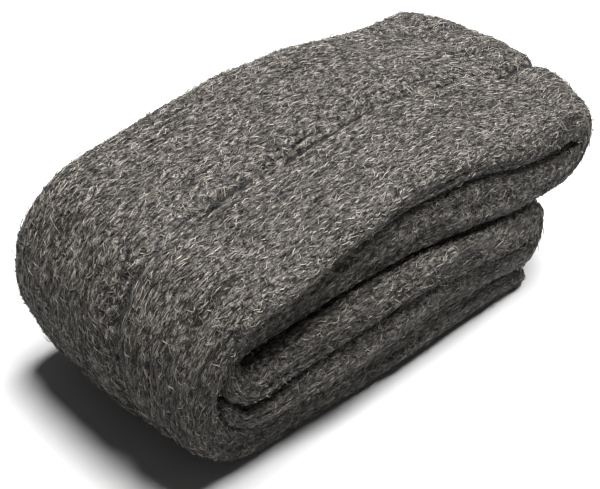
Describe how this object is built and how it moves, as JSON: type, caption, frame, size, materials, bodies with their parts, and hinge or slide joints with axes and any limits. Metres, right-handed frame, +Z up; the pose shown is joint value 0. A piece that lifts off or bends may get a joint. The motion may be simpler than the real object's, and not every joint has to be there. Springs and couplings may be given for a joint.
{
  "type": "steel wool pad",
  "caption": "Soft rectangular scouring pad made by folding one thick strip of steel wool over on itself.",
  "frame": {"origin": "centre of the pad's bounding box, at the bottom, on the surface that it lies on", "axes": "+X along the pad's length, away from its one big rounded turn; +Y across it, away from the side where the ply edges show neatly; +Z up through the plies"},
  "size_m": [0.1154, 0.058, 0.0461],
  "materials": {
    "steel_wool": "satin"
  },
  "bodies": {
    "root": {"wool_ribbon": "steel_wool"}
  },
  "joints": []
}
